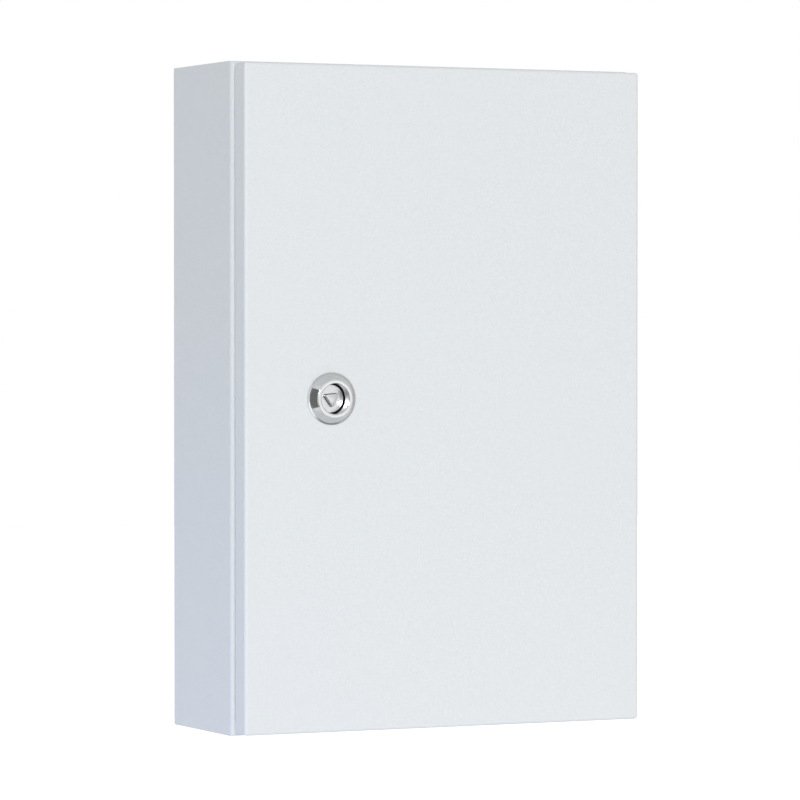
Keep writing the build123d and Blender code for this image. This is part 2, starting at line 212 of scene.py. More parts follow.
def make_zinc():
    """Bright zinc plating on small steel parts."""
    made, tree, shader = finish_material("zinc_plate", metallic=1.0)
    add_tone(tree, shader, size=5 * MM, colour=ZINC, other=ZINC_BLUE)
    add_roughness(tree, shader, size=3 * MM, smooth=0.26, rough=0.34)
    add_grain(tree, shader, lump=0.8 * MM, fine=0.2 * MM, share=0.4, depth=0.005 * MM, strength=0.3)
    return made


def outward(x, depth, z, turn=0.0):
    """Place on the back, with the piece's own axis pointing out of the wall."""
    axes = Matrix(((1, 0, 0, x), (0, 0, -1, -depth), (0, 1, 0, z), (0, 0, 0, 1)))
    return axes @ Matrix.Rotation(turn, 4, "Z")


def even_row(radius, height, segments):
    """Points of one round loop: the same radius and height all the way round."""
    return [(radius, height)] * segments


def skin_loops(shape, loops):
    """Side faces between neighbouring loops of equal length."""
    for loop, upper in zip(loops, loops[1:]):
        for step in range(len(loop)):
            beside = (step + 1) % len(loop)
            shape.faces.new((loop[step], loop[beside], upper[beside], upper[step]))


def round_spot(radius, angle, height):
    """Point of a turned form, from its radius, angle and height."""
    return Vector((radius * math.cos(angle), radius * math.sin(angle), height))


def turned(shape, place, rows, hollow):
    """Skins loops of radius and height into one turned form: a ring if hollow, else capped."""
    loops = []
    for row in rows:
        loop = []
        for step, (radius, height) in enumerate(row):
            spot = round_spot(radius, math.tau * step / len(row), height)
            loop.append(shape.verts.new(place @ spot))
        loops.append(loop)
    if hollow:
        loops.append(loops[0])
    else:
        shape.faces.new(loops[0])
        shape.faces.new(loops[-1])
    skin_loops(shape, loops)


def thread_row(crest, pitch, height, segments):
    """One loop of a right-hand screw thread: flattened crests, sharp roots."""
    row = []
    for step in range(segments):
        phase = (height / pitch - step / segments) % 1.0
        ridge = min(1.0, CREST_FLAT * (1 - abs(2 * phase - 1)))
        row.append((crest - THREAD_DEPTH * pitch * (1 - ridge), height))
    return row


def thread_rows(crest, pitch, bottom, top, segments):
    """Loops of a screw thread between two heights."""
    steps = round((top - bottom) / pitch * THREAD_STEPS)
    heights = [bottom + (top - bottom) * step / steps for step in range(steps + 1)]
    return [thread_row(crest, pitch, height, segments) for height in heights]


def weld_stud(shape, place, radius, pitch, length):
    """Weld stud: collar, shaped in shares of its step and height, threaded shank, chamfered tip."""
    root = radius - THREAD_DEPTH * pitch
    rows = []
    for out, up in COLLAR_SHAPE:
        rows.append(even_row(radius + COLLAR_STEP * out, COLLAR_HEIGHT * up, STUD_SEGMENTS))
    thread_start = COLLAR_HEIGHT + pitch / 4
    rows += thread_rows(radius, pitch, thread_start, length - TIP_CHAMFER, STUD_SEGMENTS)
    rows.append(even_row(root - TIP_CHAMFER / 2, length, STUD_SEGMENTS))
    turned(shape, place, rows, hollow=False)


def add_piece(name, shape, finish, body, node):
    """Finished mesh that rides a body and stands for a CAD node."""
    bmesh.ops.recalc_face_normals(shape, faces=shape.faces)
    mesh = bpy.data.meshes.new(name)
    shape.to_mesh(mesh)
    shape.free()
    mesh.shade_smooth()
    mesh.set_sharp_from_angle(angle=SHARP_ANGLE)
    mesh.materials.append(finish)
    piece = bpy.data.objects.new(name, mesh)
    bpy.context.scene.collection.objects.link(piece)
    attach(piece, body)
    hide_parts(node)
    return piece


def add_fastener(name, shape, body, node):
    """Zinc-plated steel fastener that rides a body and stands for a CAD node."""
    add_piece(name, shape, zinc_plate, body, node)


def corner_spots(columns, rows, reach):
    """Middles of four like pieces, from the two spans of the box round them all."""
    left, right = columns
    low, high = rows
    return [(x, y) for x in (left + reach, right - reach) for y in (low + reach, high - reach)]


def depths(node):
    """Back and front depth of a node, as distances in front of the wall."""
    low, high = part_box(node)
    return -high.y, -low.y


zinc_plate = make_zinc()
low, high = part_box("plate_studs")
plate_spots = corner_spots((low.x, high.x), (low.z, high.z), M6_RADIUS + COLLAR_STEP)
stud_back, stud_front = depths("plate_studs")
studs = bmesh.new()
for x, z in plate_spots:
    weld_stud(studs, outward(x, stud_back, z), M6_RADIUS, M6_PITCH, stud_front - stud_back)
add_fastener("plate_studs_threaded", studs, "enclosure", "plate_studs")

# Plate spacers: short tubes over the studs that hold the mounting plate clear of the back.
# Cut from zinc-plated steel tube, with the burr taken off both ends.
SPACER_RADIUS = 6.0 * MM
SPACER_BORE = 4.2 * MM
SPACER_EDGE = 0.25 * MM
RING_SEGMENTS = 48


def flat_ring(shape, place, outer, inner, thickness, edge):
    """Washer or tube with its outer and inner edges broken."""
    corners = [
        (inner + edge, 0),
        (outer - edge, 0),
        (outer, edge),
        (outer, thickness - edge),
        (outer - edge, thickness),
        (inner + edge, thickness),
        (inner, thickness - edge),
        (inner, edge),
    ]
    rows = [even_row(radius, height, RING_SEGMENTS) for radius, height in corners]
    turned(shape, place, rows, hollow=True)


spacer_back, spacer_front = depths("plate_spacers")
spacers = bmesh.new()
for x, z in plate_spots:
    place = outward(x, spacer_back, z)
    flat_ring(spacers, place, SPACER_RADIUS, SPACER_BORE, spacer_front - spacer_back, SPACER_EDGE)
add_fastener("plate_spacers_turned", spacers, "enclosure", "plate_spacers")

# Mounting plate: a flat 2 mm galvanised steel plate with cut corners, for the devices inside.
# It drops over the four studs and rests on their spacers.
SPANGLE_DARK = (0.50, 0.52, 0.54, 1.0)
SPANGLE_LIGHT = (0.58, 0.60, 0.62, 1.0)
SPANGLE_SIZE = 5 * MM
SPANGLE_BLUR = 0.35
SPANGLE_STRAY = 2.5 * MM
SPANGLE_SMOOTH = 0.46
SPANGLE_ROUGH = 0.56


def make_galvanised():
    """Hot-dip galvanised sheet: crystals of different brightness, softly blurred."""
    made, tree, shader = finish_material("galvanised", metallic=1.0)
    place = tree.nodes.new("ShaderNodeTexCoord")
    stray = tree.nodes.new("ShaderNodeTexNoise")
    stray.inputs["Scale"].default_value = 1 / SPANGLE_STRAY
    tree.links.new(place.outputs["Object"], stray.inputs["Vector"])
    frayed = tree.nodes.new("ShaderNodeVectorMath")
    frayed.operation = "MULTIPLY_ADD"
    frayed.inputs[1].default_value = (SPANGLE_STRAY, SPANGLE_STRAY, SPANGLE_STRAY)
    tree.links.new(stray.outputs["Color"], frayed.inputs[0])
    tree.links.new(place.outputs["Object"], frayed.inputs[2])
    crystals = tree.nodes.new("ShaderNodeTexVoronoi")
    crystals.feature = "SMOOTH_F1"
    crystals.inputs["Smoothness"].default_value = SPANGLE_BLUR
    crystals.inputs["Scale"].default_value = 1 / SPANGLE_SIZE
    tree.links.new(frayed.outputs["Vector"], crystals.inputs["Vector"])
    each = tree.nodes.new("ShaderNodeSeparateColor")
    tree.links.new(crystals.outputs["Color"], each.inputs["Color"])
    blend_tones(tree, shader, each.outputs["Red"], SPANGLE_DARK, SPANGLE_LIGHT)
    gloss = tree.nodes.new("ShaderNodeMapRange")
    gloss.inputs["To Min"].default_value = SPANGLE_SMOOTH
    gloss.inputs["To Max"].default_value = SPANGLE_ROUGH
    tree.links.new(each.outputs["Green"], gloss.inputs["Value"])
    tree.links.new(gloss.outputs["Result"], shader.inputs["Roughness"])
    add_grain(tree, shader, lump=3 * MM, fine=0.5 * MM, share=0.3, depth=0.02 * MM, strength=0.5)
    return made


galvanised = make_galvanised()
paint("mounting_plate", galvanised)

# Plate washers and nuts: an M6 washer and a hexagon nut on each stud clamp the plate.
# Zinc-plated steel; the nuts have chamfered corners and each stopped at its own angle.
M6_WASHER_RADIUS = 6.0 * MM
M6_WASHER_BORE = 3.4 * MM
M6_NUT_FLATS = 10.0 * MM
M6_NUT_BORE = 3.02 * MM
WASHER_EDGE = 0.15 * MM
NUT_FACE = 0.95
NUT_LEAD = 0.4 * MM
NUT_TURNS = (0.2, 0.9, 0.55, 0.05)
CORNER_SLOPE = math.tan(math.pi / 6)


def hexagon_row(half_flats, height_at):
    """Loop round a hexagon, its height found from how far each point stands past the face."""
    row = []
    for step in range(RING_SEGMENTS):
        angle = math.tau * step / RING_SEGMENTS
        off_middle = (angle + math.pi / 6) % (math.pi / 3) - math.pi / 6
        radius = half_flats / math.cos(off_middle)
        row.append((radius, height_at(radius - NUT_FACE * half_flats)))
    return row


def hex_nut(shape, place, flats, height, bore):
    """Hexagon nut with its corners turned off at thirty degrees, top and bottom."""
    face = NUT_FACE * flats / 2
    rows = [
        even_row(bore + NUT_LEAD, 0, RING_SEGMENTS),
        even_row(face, 0, RING_SEGMENTS),
        hexagon_row(flats / 2, lambda past: past * CORNER_SLOPE),
        hexagon_row(flats / 2, lambda past: height - past * CORNER_SLOPE),
        even_row(face, height, RING_SEGMENTS),
        even_row(bore + NUT_LEAD, height, RING_SEGMENTS),
        even_row(bore, height - NUT_LEAD, RING_SEGMENTS),
        even_row(bore, NUT_LEAD, RING_SEGMENTS),
    ]
    turned(shape, place, rows, hollow=True)


washer_back, washer_front = depths("plate_washers")
nut_back, nut_front = depths("plate_nuts")
m6_washer_height = washer_front - washer_back
m6_nut_height = nut_front - nut_back
washers = bmesh.new()
nuts = bmesh.new()
for (x, z), turn in zip(plate_spots, NUT_TURNS):
    place = outward(x, washer_back, z)
    flat_ring(washers, place, M6_WASHER_RADIUS, M6_WASHER_BORE, m6_washer_height, WASHER_EDGE)
    hex_nut(nuts, outward(x, nut_back, z, turn), M6_NUT_FLATS, m6_nut_height, M6_NUT_BORE)
add_fastener("plate_washers_bevelled", washers, "enclosure", "plate_washers")
add_fastener("plate_nuts_chamfered", nuts, "enclosure", "plate_nuts")

# Gland gasket: a flat strip of black cellular rubber under the edge of the gland plate.
# Cut in one piece and pressed a little by the plate, so that its edges bulge.
FOAM_BLACK = (0.030, 0.030, 0.032, 1.0)
FOAM_GREY = (0.052, 0.052, 0.055, 1.0)
FOAM_SHEEN = 0.25
STRIP_HALF = 5.0 * MM
STRIP_BULGE = 0.35 * MM
STRIP_CORNER = 6.0 * MM
STRIP_STEPS = 8
CORNER_STEPS = 12
BEAD_STEP = 3.0 * MM


def make_foam():
    """Black gasket foam: matt skin with fine open cells."""
    made, tree, shader = finish_material("foam_gasket", metallic=0.0)
    shader.inputs["Specular IOR Level"].default_value = FOAM_SHEEN
    add_tone(tree, shader, size=1.2 * MM, colour=FOAM_BLACK, other=FOAM_GREY)
    add_roughness(tree, shader, size=4 * MM, smooth=0.72, rough=0.90)
    add_grain(tree, shader, lump=1.1 * MM, fine=0.35 * MM, share=0.6, depth=0.12 * MM, strength=0.8)
    return made


def rounded_route(half_width, half_height, corner):
    """Points and outward directions round a rectangle with rounded corners, evenly spaced."""
    route = []
    for number, (right, up) in enumerate(((1, -1), (1, 1), (-1, 1), (-1, -1))):
        middle = Vector((right * (half_width - corner), up * (half_height - corner)))
        for step in range(CORNER_STEPS + 1):
            angle = math.pi / 2 * (number - 1 + step / CORNER_STEPS)
            away = Vector((math.cos(angle), math.sin(angle)))
            route.append((middle + corner * away, away))
        run = 2 * ((half_width if number % 2 else half_height) - corner)
        along = Vector((-away.y, away.x))
        pieces = max(2, round(run / BEAD_STEP))
        last = route[-1][0]
        for step in range(1, pieces):
            route.append((last + along * run * step / pieces, away))
    return route


def swept_bead(shape, place, route, section, swell_at):
    """Closed bead: a section of across and height swept along a route, swelling a little."""
    loops = []
    for number, (spot, away) in enumerate(route):
        swell = swell_at(number / len(route))
        loop = []
        for across, height in section:
            flat = spot + away * across * (1 + swell / 2)
            loop.append(shape.verts.new(place @ Vector((flat.x, flat.y, height * (1 + swell)))))
        loops.append(loop)
    skin_loops(shape, loops + loops[:1])


foam = make_foam()
low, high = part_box("gland_gasket")
strip_section = []
for step in range(STRIP_STEPS + 1):
    angle = math.pi * (step / STRIP_STEPS - 0.5)
    across = STRIP_HALF - STRIP_BULGE * (1 - math.cos(angle))
    strip_section.append((across, (high.z - low.z) * (1 + math.sin(angle)) / 2))
strip_section += [(-across, height) for across, height in reversed(strip_section)]
strip_place = Matrix.Translation(((low.x + high.x) / 2, (low.y + high.y) / 2, low.z))
half_width = (high.x - low.x) / 2 - STRIP_HALF
half_height = (high.y - low.y) / 2 - STRIP_HALF
strip = bmesh.new()
strip_route = rounded_route(half_width, half_height, STRIP_CORNER)
swept_bead(strip, strip_place, strip_route, strip_section, lambda share: 0.0)
add_piece("gland_gasket_strip", strip, foam, "enclosure", "gland_gasket")

# Gland plate: a flat galvanised plate over the cable opening in the bottom wall.
# Four welded M5 studs pass through it, and washers and nuts press it on its gasket.
M5_RADIUS = 2.5 * MM
M5_PITCH = 0.8 * MM
M5_WASHER_RADIUS = 5.0 * MM
M5_WASHER_BORE = 2.9 * MM
M5_NUT_FLATS = 8.0 * MM
M5_NUT_BORE = 2.52 * MM
GLAND_NUT_TURNS = (0.7, 0.15, 0.35, 0.95)


def upward(x, y, z, turn=0.0):
    """Place on the bottom wall, with the piece's own axis pointing up."""
    return Matrix.Translation((x, y, z)) @ Matrix.Rotation(turn, 4, "Z")


paint("gland_plate", galvanised)
low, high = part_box("gland_studs")
gland_spots = corner_spots((low.x, high.x), (low.y, high.y), M5_RADIUS + COLLAR_STEP)
washer_low, washer_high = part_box("gland_washers")
nut_low, nut_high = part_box("gland_nuts")
gland_studs = bmesh.new()
gland_washers = bmesh.new()
gland_nuts = bmesh.new()
for (x, y), turn in zip(gland_spots, GLAND_NUT_TURNS):
    weld_stud(gland_studs, upward(x, y, low.z), M5_RADIUS, M5_PITCH, high.z - low.z)
    place = upward(x, y, washer_low.z)
    height = washer_high.z - washer_low.z
    flat_ring(gland_washers, place, M5_WASHER_RADIUS, M5_WASHER_BORE, height, WASHER_EDGE)
    place = upward(x, y, nut_low.z, turn)
    hex_nut(gland_nuts, place, M5_NUT_FLATS, nut_high.z - nut_low.z, M5_NUT_BORE)
add_fastener("gland_studs_threaded", gland_studs, "enclosure", "gland_studs")
add_fastener("gland_washers_cut", gland_washers, "enclosure", "gland_washers")
add_fastener("gland_nuts_chamfered", gland_nuts, "enclosure", "gland_nuts")

# Earth studs: one copper-washed M6 weld stud on the bottom wall and one on the inside of the door.
# Each carries a washer and a nut for a bonding lead.
COPPER = (0.72, 0.40, 0.26, 1.0)
COPPER_DULL = (0.50, 0.27, 0.18, 1.0)
BODY_EARTH_TURN = 0.4
DOOR_EARTH_TURN = 0.75


def make_copper():
    """Thin copper wash on a steel stud, a little tarnished."""
    made, tree, shader = finish_material("copper_wash", metallic=1.0)
    add_tone(tree, shader, size=3 * MM, colour=COPPER, other=COPPER_DULL)
    add_roughness(tree, shader, size=1.5 * MM, smooth=0.24, rough=0.42)
    add_grain(tree, shader, lump=0.5 * MM, fine=0.12 * MM, share=0.5, depth=0.01 * MM, strength=0.4)
    return made


def inward(x, depth, z):
    """Place on the inside of the door, with the piece's own axis pointing to the wall."""
    return Matrix(((-1, 0, 0, x), (0, 0, 1, -depth), (0, 1, 0, z), (0, 0, 0, 1)))


def earth_set(prefix, body, base, length, turn):
    """Earth stud with its washer and nut, stacked on the weld collar."""
    stud = bmesh.new()
    weld_stud(stud, base, M6_RADIUS, M6_PITCH, length)
    add_piece(prefix + "_stud_threaded", stud, copper_wash, body, prefix + "_stud")
    ring = bmesh.new()
    place = base @ Matrix.Translation((0, 0, COLLAR_HEIGHT))
    flat_ring(ring, place, M6_WASHER_RADIUS, M6_WASHER_BORE, m6_washer_height, WASHER_EDGE)
    add_fastener(prefix + "_washer_bevelled", ring, body, prefix + "_washer")
    nut = bmesh.new()
    place = place @ Matrix.Translation((0, 0, m6_washer_height)) @ Matrix.Rotation(turn, 4, "Z")
    hex_nut(nut, place, M6_NUT_FLATS, m6_nut_height, M6_NUT_BORE)
    add_fastener(prefix + "_nut_chamfered", nut, body, prefix + "_nut")


copper_wash = make_copper()
low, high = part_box("body_earth_stud")
base = upward((low.x + high.x) / 2, (low.y + high.y) / 2, low.z)
earth_set("body_earth", "enclosure", base, high.z - low.z, BODY_EARTH_TURN)
low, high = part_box("door_earth_stud")
base = inward((low.x + high.x) / 2, -low.y, (low.z + high.z) / 2)
earth_set("door_earth", "door", base, high.y - low.y, DOOR_EARTH_TURN)

# Hinges: folded arms spot-welded in the body's gutter, and brackets spot-welded in the door.
# Zinc-plated steel sheet; the brackets turn with the door on two headed pins.
PIN_RADIUS = 1.5 * MM
PIN_HEAD_RADIUS = 2.3 * MM
PIN_HEAD_HEIGHT = 1.0 * MM
PIN_EDGE = 0.35 * MM
PIN_SEGMENTS = 32

for node in ("upper_hinge_arm", "lower_hinge_arm", "upper_hinge_bracket", "lower_hinge_bracket"):
    paint(node, zinc_plate)
for node in ("upper_hinge_pin", "lower_hinge_pin"):
    low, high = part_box(node)
    tall = high.z - low.z
    seat = tall - PIN_HEAD_HEIGHT
    corners = [
        (PIN_RADIUS - PIN_EDGE, 0),
        (PIN_RADIUS, PIN_EDGE),
        (PIN_RADIUS, seat),
        (PIN_HEAD_RADIUS - PIN_EDGE / 3, seat),
        (PIN_HEAD_RADIUS, seat + PIN_EDGE / 3),
        (PIN_HEAD_RADIUS, seat + PIN_HEAD_HEIGHT / 2),
        (PIN_HEAD_RADIUS - PIN_EDGE, tall - PIN_EDGE / 3),
        (PIN_HEAD_RADIUS - 2 * PIN_EDGE, tall),
    ]
    pin = bmesh.new()
    place = upward((low.x + high.x) / 2, (low.y + high.y) / 2, low.z)
    rows = [even_row(radius, height, PIN_SEGMENTS) for radius, height in corners]
    turned(pin, place, rows, hollow=False)
    add_fastener(node + "_headed", pin, "door", node)

# Door: a pan of 1.2 mm sheet steel, folded on four sides and welded at the corners.
# It has the same powder coat as the body, inside and out.
paint("door_panel", powder_coat)

# Door gasket: a bead of black polyurethane foamed in place on the inside of the door.
# It closes on itself at the bottom, and the body's lip has left a shallow line along its crown.
BEAD_CORNER = 6.75 * MM
BEAD_HALF = 5.5 * MM
BEAD_SHOULDER = (
    (1, 0),
    (0.99, 0.32),
    (0.93, 0.6),
    (0.8, 0.81),
    (0.6, 0.93),
    (0.38, 0.98),
    (0.16, 0.96),
)
BEAD_LINE = 0.90
BEAD_WAVE = 0.012
BEAD_SLOW_WAVES = 7
BEAD_QUICK_WAVES = 19
BEAD_QUICK_SHARE = 0.6
BEAD_QUICK_LEAD = 1.0
BEAD_JOIN = 0.02
BEAD_JOIN_AT = 0.86
BEAD_JOIN_LENGTH = 0.006


def bead_swell(share):
    """How full the bead is at a share of its length: two small waves, and a lump at the join."""
    slow = math.sin(math.tau * BEAD_SLOW_WAVES * share)
    quick = math.sin(math.tau * BEAD_QUICK_WAVES * share + BEAD_QUICK_LEAD)
    wave = (slow + BEAD_QUICK_SHARE * quick) / (1 + BEAD_QUICK_SHARE)
    join = math.exp(-(((share - BEAD_JOIN_AT) / BEAD_JOIN_LENGTH) ** 2))
    return BEAD_WAVE * (wave - 1) + BEAD_JOIN * join


low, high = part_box("door_gasket")
tall = high.y - low.y
shoulder = [(across * BEAD_HALF, height * tall) for across, height in BEAD_SHOULDER]
bead_section = shoulder + [(0, BEAD_LINE * tall)]
bead_section += [(-across, height) for across, height in reversed(shoulder)]
half_width = (high.x - low.x) / 2 - BEAD_HALF
half_height = (high.z - low.z) / 2 - BEAD_HALF
bead = bmesh.new()
bead_place = inward((low.x + high.x) / 2, -low.y, (low.z + high.z) / 2)
bead_route = rounded_route(half_width, half_height, BEAD_CORNER)
swept_bead(bead, bead_place, bead_route, bead_section, bead_swell)
add_piece("door_gasket_bead", bead, foam, "door", "door_gasket")

# Lock housing: die-cast and chrome-plated, with a skirted head, a deep cup and a threaded barrel.
# It is put through the door from the front; two flats on the barrel keep it from turning.
CHROME = (0.60, 0.61, 0.62, 1.0)
CHROME_WARM = (0.63, 0.63, 0.63, 1.0)
LOCK_SEGMENTS = 144
RIM_RADIUS = 11.7 * MM
RIM_HEIGHT = 0.8 * MM
RIM_EDGE = 0.64 * MM
RIM_BREAK = 0.05 * MM
LEDGE_RADIUS = 10.9 * MM
RING_RADIUS = 8.75 * MM
RING_ROUND = 0.55 * MM
SKIRT_TOP = 4.1 * MM
RING_TOP = 4.7 * MM
CUP_RADIUS = 6.8 * MM
CUP_ROUND = 0.45 * MM
CUP_FLOOR = -3.6 * MM
# Below this depth the cup's wall and floor take painted shade, standing for the shaded gap round the
# insert.
PAINTED_SHADE_LEVEL = -1.0 * MM
HAIR = 0.01 * MM
BORE_RADIUS = 5.05 * MM
BARREL_RADIUS = 9.0 * MM
BARREL_HALF_FLATS = 8.0 * MM
BARREL_PITCH = 1.0 * MM
BARREL_LEAD = 0.4 * MM
LEAST_COSINE = 0.1
SEAL_GROOVE = ((9.3 * MM, 0), (9.3 * MM, 0.7 * MM), (10.55 * MM, 0.7 * MM), (10.55 * MM, 0))
STOP_INNER = 6.4 * MM
STOP_LENGTH = 2.0 * MM
STOP_START = -45
STOP_SWEEP = 180
STOP_STEPS = 48
# Near-black tones of the painted shade in the gap round the insert and at the foot of its triangle.
PAINTED_SHADE_BLACK = (0.012, 0.012, 0.013, 1.0)
PAINTED_SHADE_BROWN = (0.020, 0.018, 0.016, 1.0)


def make_chrome():
    """Bright chrome plate with a faint haze."""
    made, tree, shader = finish_material("lock_chrome", metallic=1.0)
    add_tone(tree, shader, size=6 * MM, colour=CHROME, other=CHROME_WARM)
    add_roughness(tree, shader, size=3 * MM, smooth=0.08, rough=0.13)
    add_grain(tree, shader, lump=2.5 * MM, fine=0.4 * MM, share=0.3, depth=0.004 * MM, strength=0.4)
    return made


def make_painted_gap_shade():
    """Painted shade: near-black material for the narrow gap round the insert and the foot of its
    triangle, where shade falls.
    """
    made, tree, shader = finish_material("lock_painted_gap_shade", metallic=0.0)
    add_tone(tree, shader, size=2 * MM, colour=PAINTED_SHADE_BLACK, other=PAINTED_SHADE_BROWN)
    add_roughness(tree, shader, size=1 * MM, smooth=0.45, rough=0.65)
    return made


def arc_points(middle, radius, start, stop, steps):
    """Points of a profile's rounded corner, its angles in degrees."""
    across, height = middle
    points = []
    for step in range(steps + 1):
        angle = math.radians(start + (stop - start) * step / steps)
        points.append((across + radius * math.cos(angle), height + radius * math.sin(angle)))
    return points


def lock_head_profile():
    """Outside of the head from its foot to the cup floor: rim, ledge, skirt, ring and cup."""
    profile = [(RIM_RADIUS, 0), (RIM_RADIUS, RIM_EDGE)]
    profile += [(RIM_RADIUS - RIM_BREAK, RIM_EDGE + RIM_BREAK)]
    profile += [(LEDGE_RADIUS, RIM_HEIGHT), (RING_RADIUS, SKIRT_TOP)]
    ring_middle = (RING_RADIUS - RING_ROUND, RING_TOP - RING_ROUND)
    profile += arc_points(ring_middle, RING_ROUND, start=0, stop=90, steps=8)
    cup_middle = (CUP_RADIUS + CUP_ROUND, RING_TOP - CUP_ROUND)
    profile += arc_points(cup_middle, CUP_ROUND, start=90, stop=180, steps=6)
    profile += [(CUP_RADIUS, PAINTED_SHADE_LEVEL), (CUP_RADIUS, CUP_FLOOR), (BORE_RADIUS, CUP_FLOOR)]
    return profile


def flat_reach(angle):
    """How far out the barrel's two flats lie at an angle, and past the barrel where there is none."""
    return BARREL_HALF_FLATS / max(abs(math.cos(angle)), LEAST_COSINE)


def flatted(row):
    """A barrel loop cut back to the two flats at its left and right."""
    cut = []
    for step, (radius, height) in enumerate(row):
        cut.append((min(radius, flat_reach(math.tau * step / len(row))), height))
    return cut


def add_stop(shape, place, back, front):
    """Half ring on the barrel's end that ends the cam's quarter turn."""
    loops = []
    for step in range(STOP_STEPS + 1):
        angle = math.radians(STOP_START + STOP_SWEEP * step / STOP_STEPS)
        reach = min(BARREL_RADIUS, flat_reach(angle))
        corners = ((STOP_INNER, back), (reach, back), (reach, front), (STOP_INNER, front))
        spots = [round_spot(radius, angle, height) for radius, height in corners]
        loops.append([shape.verts.new(place @ spot) for spot in spots])
    skin_loops(shape, loops)
    shape.faces.new(loops[0])
    shape.faces.new(loops[-1])


chrome = make_chrome()
painted_gap_shade = make_painted_gap_shade()
low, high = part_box("lock_housing")
lock_x, lock_z = (low.x + high.x) / 2, (low.z + high.z) / 2
door_front = depths("door_panel")[1]
lock_place = outward(lock_x, door_front, lock_z)
stop_back = depths("lock_housing")[0] - door_front
barrel_back = stop_back + STOP_LENGTH
rows = [even_row(radius, height, LOCK_SEGMENTS) for radius, height in lock_head_profile()]
rows.append(even_row(BORE_RADIUS, barrel_back, LOCK_SEGMENTS))
rows.append(flatted(even_row(BARREL_RADIUS - BARREL_LEAD, barrel_back, LOCK_SEGMENTS)))
thread_back = barrel_back + BARREL_LEAD
for row in thread_rows(BARREL_RADIUS, BARREL_PITCH, thread_back, -BARREL_LEAD, LOCK_SEGMENTS):
    rows.append(flatted(row))
rows.append(flatted(even_row(BARREL_RADIUS, 0, LOCK_SEGMENTS)))
rows += [even_row(radius, height, LOCK_SEGMENTS) for radius, height in SEAL_GROOVE]
housing = bmesh.new()
turned(housing, lock_place, rows, hollow=True)
add_stop(housing, lock_place, stop_back, barrel_back)
# Faces of the cup's floor and lower wall get the second material: painted shade in the narrow, shaded
# gap round the insert.
for face in housing.faces:
    spot = lock_place.inverted() @ face.calc_center_median()
    in_cup = CUP_FLOOR - HAIR < spot.z < PAINTED_SHADE_LEVEL
    if in_cup and BORE_RADIUS < spot.xy.length <= CUP_RADIUS:
        face.material_index = 1
lock_body = add_piece("lock_housing_plated", housing, chrome, "door", "lock_housing")
lock_body.data.materials.append(painted_gap_shade)

# Lock seal and nut: a black rubber ring under the head, and a thin hexagon nut behind the door.
# The nut is zinc-plated steel and draws the head down on its seal.
RUBBER = (0.018, 0.018, 0.019, 1.0)
RUBBER_GREY = (0.030, 0.030, 0.031, 1.0)
SEAL_INNER = 9.45 * MM
SEAL_OUTER = 10.4 * MM
LOCK_NUT_FLATS = 24.0 * MM
LOCK_NUT_BORE = 9.02 * MM
LOCK_NUT_TURN = 0.3
RUBBER_STEPS = 12
RUBBER_SEGMENTS = 64


def make_rubber():
    """Black rubber with a soft sheen."""
    made, tree, shader = finish_material("black_rubber", metallic=0.0)
    add_tone(tree, shader, size=2 * MM, colour=RUBBER, other=RUBBER_GREY)
    add_roughness(tree, shader, size=1.5 * MM, smooth=0.50, rough=0.66)
    add_grain(tree, shader, lump=0.8 * MM, fine=0.2 * MM, share=0.5, depth=0.02 * MM, strength=0.5)
    return made


def rubber_ring(shape, place, inner, outer, bottom, top):
    """Moulded ring of oval section."""
    rows = []
    for step in range(RUBBER_STEPS):
        angle = math.tau * step / RUBBER_STEPS
        radius = (inner + outer) / 2 + (outer - inner) / 2 * math.cos(angle)
        height = (bottom + top) / 2 + (top - bottom) / 2 * math.sin(angle)
        rows.append(even_row(radius, height, RUBBER_SEGMENTS))
    turned(shape, place, rows, hollow=True)


rubber = make_rubber()
seal_back, seal_front = (depth - door_front for depth in depths("lock_seal"))
seal = bmesh.new()
rubber_ring(seal, lock_place, SEAL_INNER, SEAL_OUTER, seal_back, seal_front)
add_piece("lock_seal_ring", seal, rubber, "door", "lock_seal")
back, front = depths("lock_nut")
lock_nut = bmesh.new()
place = outward(lock_x, back, lock_z, LOCK_NUT_TURN)
hex_nut(lock_nut, place, LOCK_NUT_FLATS, front - back, LOCK_NUT_BORE)
add_fastener("lock_nut_chamfered", lock_nut, "door", "lock_nut")

# Lock insert: the turning core, die-cast and plated, with a raised triangle for a socket key.
# A disc fills the cup, a round shaft runs in the barrel and a square at the back drives the cam.
INSERT_RADIUS = 6.3 * MM
INSERT_FACE = -0.8 * MM
INSERT_BACK = -3.5 * MM
INSERT_EDGE = 0.15 * MM
INSERT_SEGMENTS = 96
SHAFT_RADIUS = 5.0 * MM
GROOVE_RADIUS = 3.8 * MM
GROOVE_FRONT = -7.5 * MM
GROOVE_BACK = -8.7 * MM
DRIVE_HALF = 3.5 * MM
KEY_SIDE = 7.0 * MM
KEY_ROUND = 0.5 * MM
KEY_TOP = 1.9 * MM
KEY_EDGE = 0.15 * MM
KEY_EDGE_MIDDLE = 0.3
KEY_FOOT = 0.25 * MM
KEY_STEPS = 8
KEY_TILT = math.radians(6)
SATIN = (0.70, 0.71, 0.72, 1.0)
SATIN_DULL = (0.66, 0.67, 0.68, 1.0)


def make_satin():
    """Plated casting left as it came from the die: satin, with a faint grain."""
    made, tree, shader = finish_material("lock_satin", metallic=1.0)
    add_tone(tree, shader, size=3 * MM, colour=SATIN, other=SATIN_DULL)
    add_roughness(tree, shader, size=2 * MM, smooth=0.26, rough=0.31)
    add_grain(tree, shader, lump=1.0 * MM, fine=0.3 * MM, share=0.3, depth=0.05 * MM, strength=0.5)
    return made


